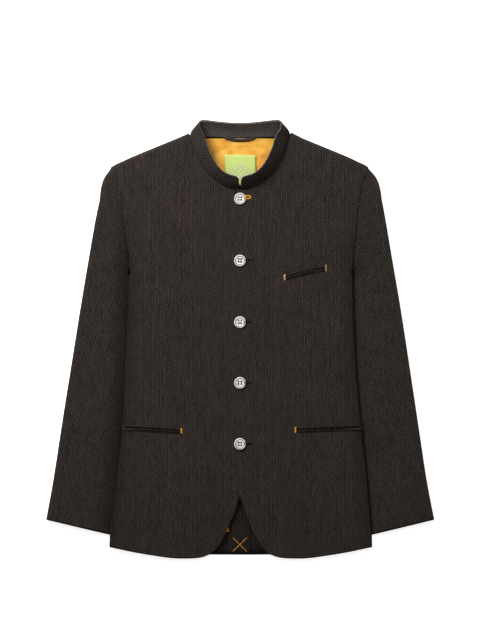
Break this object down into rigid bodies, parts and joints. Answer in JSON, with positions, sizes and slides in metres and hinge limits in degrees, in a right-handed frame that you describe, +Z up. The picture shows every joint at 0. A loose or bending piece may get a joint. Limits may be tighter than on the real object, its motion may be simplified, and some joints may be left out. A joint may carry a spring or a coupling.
{
  "type": "buttoned jacket",
  "caption": "Dark herringbone jacket with a stand collar, front buttons, jetted pockets and a golden lining, laid flat on its back.",
  "frame": {"origin": "middle of the laid-out jacket's outline, on the surface that it lies on", "axes": "+X to the wearer's left, +Y to the collar, +Z up from the surface, out of the fronts"},
  "size_m": [0.6666, 0.7512, 0.036],
  "materials": {
    "cloth": "matt wool herringbone",
    "lining": "satin weave with a soft sheen",
    "label": "woven label",
    "loop": "dark cord",
    "thread": "silk twist",
    "button": "polished, slightly pearly"
  },
  "bodies": {
    "root": {"front_left": "cloth", "front_right": "cloth", "back": "cloth", "sleeve_top_left": "cloth", "sleeve_under_left": "cloth", "sleeve_top_right": "cloth", "sleeve_under_right": "cloth", "collar": "cloth", "collar_facing": "cloth", "vent_facing": "cloth", "chest_jet_upper": "cloth", "chest_jet_lower": "cloth", "pocket_jet_upper_left": "cloth", "pocket_jet_lower_left": "cloth", "pocket_jet_upper_right": "cloth", "pocket_jet_lower_right": "cloth", "lining_back": "lining", "label": "label", "hanger_loop": "loop", "button_1": "button", "button_2": "button", "button_3": "button", "button_4": "button", "button_5": "button"}
  },
  "joints": []
}
